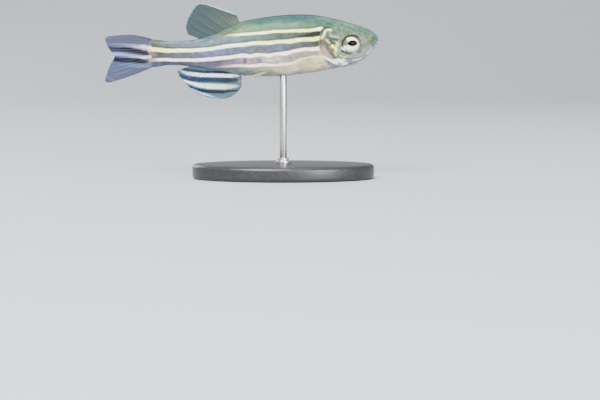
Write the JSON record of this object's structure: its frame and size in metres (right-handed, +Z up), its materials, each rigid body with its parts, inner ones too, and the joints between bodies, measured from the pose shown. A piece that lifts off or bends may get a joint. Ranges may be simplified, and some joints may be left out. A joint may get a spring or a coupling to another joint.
{
  "type": "zebra danio, life-size still model on a display stand",
  "caption": "Life-size still model of a zebra danio: a slim striped fish with open fins and short feelers, held level over a flat oval base by one rod.",
  "frame": {"origin": "middle of the stand base's underside, straight under the rod", "axes": "+X towards the fish's snout, +Y to its left side, +Z up"},
  "size_m": [0.0407, 0.017, 0.026],
  "materials": {
    "skin": "painted scales with a wet shine, cream and blue-grey stripes along the side",
    "eye": "polished, black pupil in a pale silver ring",
    "feeler": "smooth, translucent",
    "fin": "thin translucent membrane with fine rays",
    "stand_base": "satin black",
    "stand_rod": "satin"
  },
  "bodies": {
    "root": {"head": "skin", "trunk": "skin", "tail": "skin", "gill_cover_left": "skin", "gill_cover_right": "skin", "eye_left": "eye", "eye_right": "eye", "rostral_barbel_left": "feeler", "rostral_barbel_right": "feeler", "maxillary_barbel_left": "feeler", "maxillary_barbel_right": "feeler", "dorsal_fin": "fin", "anal_fin": "fin", "caudal_fin": "fin", "pectoral_fin_left": "fin", "pectoral_fin_right": "fin", "pelvic_fin_left": "fin", "pelvic_fin_right": "fin", "stand_base": "stand_base", "stand_rod": "stand_rod"}
  },
  "joints": []
}
